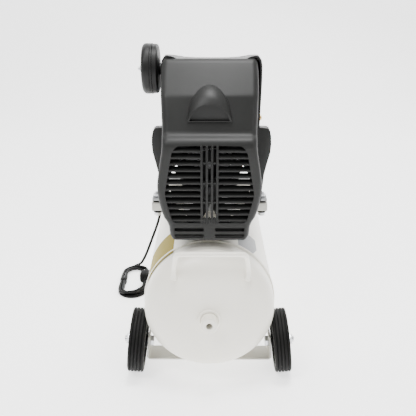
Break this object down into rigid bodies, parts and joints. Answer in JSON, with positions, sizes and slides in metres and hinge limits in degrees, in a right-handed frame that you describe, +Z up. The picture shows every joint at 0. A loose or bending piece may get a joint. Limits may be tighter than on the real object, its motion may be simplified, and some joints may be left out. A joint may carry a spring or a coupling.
{
  "type": "air compressor",
  "caption": "Direct-drive piston air compressor: pump and motor under a slatted black shroud on a horizontal cream tank with rod handles, wheels, feet, side air filter and mains lead.",
  "frame": {"origin": "on the floor under the middle of the tank, halfway along the object without its mains lead", "axes": "+Z up, Y along the tank's axis with the wheels and the fan grille at -Y, +X to the right of a person who faces the grille"},
  "size_m": [0.3994, 0.604, 0.6235],
  "materials": {
    "tank_paint": "smooth warm-white powder coat",
    "bracket_paint": "light beige-grey paint",
    "shroud_plastic": "fine-grained black moulded plastic",
    "black_plastic": "smooth black plastic",
    "tyre_rubber": "black ribbed solid tyre",
    "rubber": "black rubber",
    "zinc": "bright zinc-plated steel",
    "cast_aluminium": "sand-textured die casting",
    "steel": "ground steel",
    "brass": "turned brass",
    "copper_pipe": "bare copper pipe",
    "winding": "varnished copper winding",
    "filter_media": "pleated filter paper",
    "red_plastic": "glossy red plastic",
    "dial": "white dial in a plated case",
    "lead_pvc": "black PVC sheath"
  },
  "bodies": {
    "tank": {"tank_barrel": "tank_paint", "near_end": "tank_paint", "far_end": "tank_paint", "near_bung": "tank_paint", "rod_handles": "tank_paint", "axle_bracket": "bracket_paint", "hex_bolts": "zinc", "foot_bracket": "bracket_paint", "rubber_feet": "rubber", "cross_members": "bracket_paint", "mount_buffers": "rubber", "drain_cock": "brass", "crankcase": "cast_aluminium", "crankcase_cover": "cast_aluminium", "bearings": "steel", "cylinder_barrel": "cast_aluminium", "valve_plate": "steel", "cylinder_head": "cast_aluminium", "head_bolts": "zinc", "filter_base": "black_plastic", "filter_element": "filter_media", "filter_cover": "black_plastic", "filter_stud": "zinc", "motor_housing": "cast_aluminium", "stator": "winding", "end_bell": "cast_aluminium", "discharge_pipe": "copper_pipe", "check_valve": "brass", "switch_base": "zinc", "switch_cover": "black_plastic", "manifold": "brass", "gauges": "dial", "safety_valve": "brass", "coupler": "brass", "fan_cowl": "shroud_plastic", "front_grille": "shroud_plastic", "rear_shell": "shroud_plastic", "shroud_screws": "brass", "cord_gland": "black_plastic", "cord_run": "lead_pvc", "cord_hank": "lead_pvc", "plug": "rubber"},
    "left_wheel": {"tyre_left": "tyre_rubber", "hub_left": "black_plastic"},
    "right_wheel": {"tyre_right": "tyre_rubber", "hub_right": "black_plastic"},
    "crank": {"crankshaft": "steel", "fan": "black_plastic", "rotor": "steel"},
    "piston": {"piston": "cast_aluminium", "wrist_pin": "steel"},
    "rod": {"connecting_rod": "cast_aluminium", "crank_pin": "steel"},
    "switch_knob": {"switch_knob": "red_plastic"},
    "regulator_knob": {"regulator_knob": "black_plastic"},
    "drain_screw": {"drain_screw": "brass"},
    "safety_ring": {"safety_ring": "zinc"},
    "coupler_sleeve": {"coupler_sleeve": "zinc"},
    "tank_needle": {"tank_needle": "black_plastic"},
    "outlet_needle": {"outlet_needle": "black_plastic"}
  },
  "joints": [
    {"name": "left_wheel_spin", "type": "hinge", "parent": "tank", "child": "left_wheel", "pos_m": [-0.1405, -0.203, 0.06333], "axis": [0.9954, 0, -0.0958], "continuous": true},
    {"name": "right_wheel_spin", "type": "hinge", "parent": "tank", "child": "right_wheel", "pos_m": [0.1405, -0.203, 0.06333], "axis": [0.9954, 0, 0.0958], "continuous": true},
    {"name": "crank_spin", "type": "hinge", "parent": "tank", "child": "crank", "pos_m": [0, -0.095, 0.385], "axis": [0, 1, 0], "continuous": true},
    {"name": "piston_stroke", "type": "slide", "parent": "tank", "child": "piston", "axis": [0, 0, 1], "range_m": [-0.042, 0]},
    {"name": "rod_swing", "type": "hinge", "parent": "piston", "child": "rod", "pos_m": [0, -0.095, 0.511], "axis": [0, 1, 0], "range_deg": [-11.5, 11.5]},
    {"name": "switch_pull", "type": "slide", "parent": "tank", "child": "switch_knob", "axis": [0, 0, 1], "range_m": [0, 0.008]},
    {"name": "regulator_turn", "type": "hinge", "parent": "tank", "child": "regulator_knob", "pos_m": [0.058, 0.175, 0.355], "axis": [0, 0, 1], "range_deg": [0, 1080]},
    {"name": "drain_turn", "type": "hinge", "parent": "tank", "child": "drain_screw", "pos_m": [0, 0.06, 0.015], "axis": [0, 0, 1], "range_deg": [0, 720]},
    {"name": "safety_pull", "type": "slide", "parent": "tank", "child": "safety_ring", "axis": [-1, 0, 0], "range_m": [0, 0.003], "stiffness_N_per_m": 1500},
    {"name": "sleeve_slide", "type": "slide", "parent": "tank", "child": "coupler_sleeve", "axis": [-1, 0, 0], "range_m": [0, 0.005], "stiffness_N_per_m": 1000},
    {"name": "tank_dial", "type": "hinge", "parent": "tank", "child": "tank_needle", "pos_m": [0, 0.212, 0.322], "axis": [0, -1, 0], "range_deg": [0, 270], "stiffness_Nm_per_rad": 0.002},
    {"name": "outlet_dial", "type": "hinge", "parent": "tank", "child": "outlet_needle", "pos_m": [0.058, 0.212, 0.322], "axis": [0, -1, 0], "range_deg": [0, 270], "stiffness_Nm_per_rad": 0.002}
  ]
}
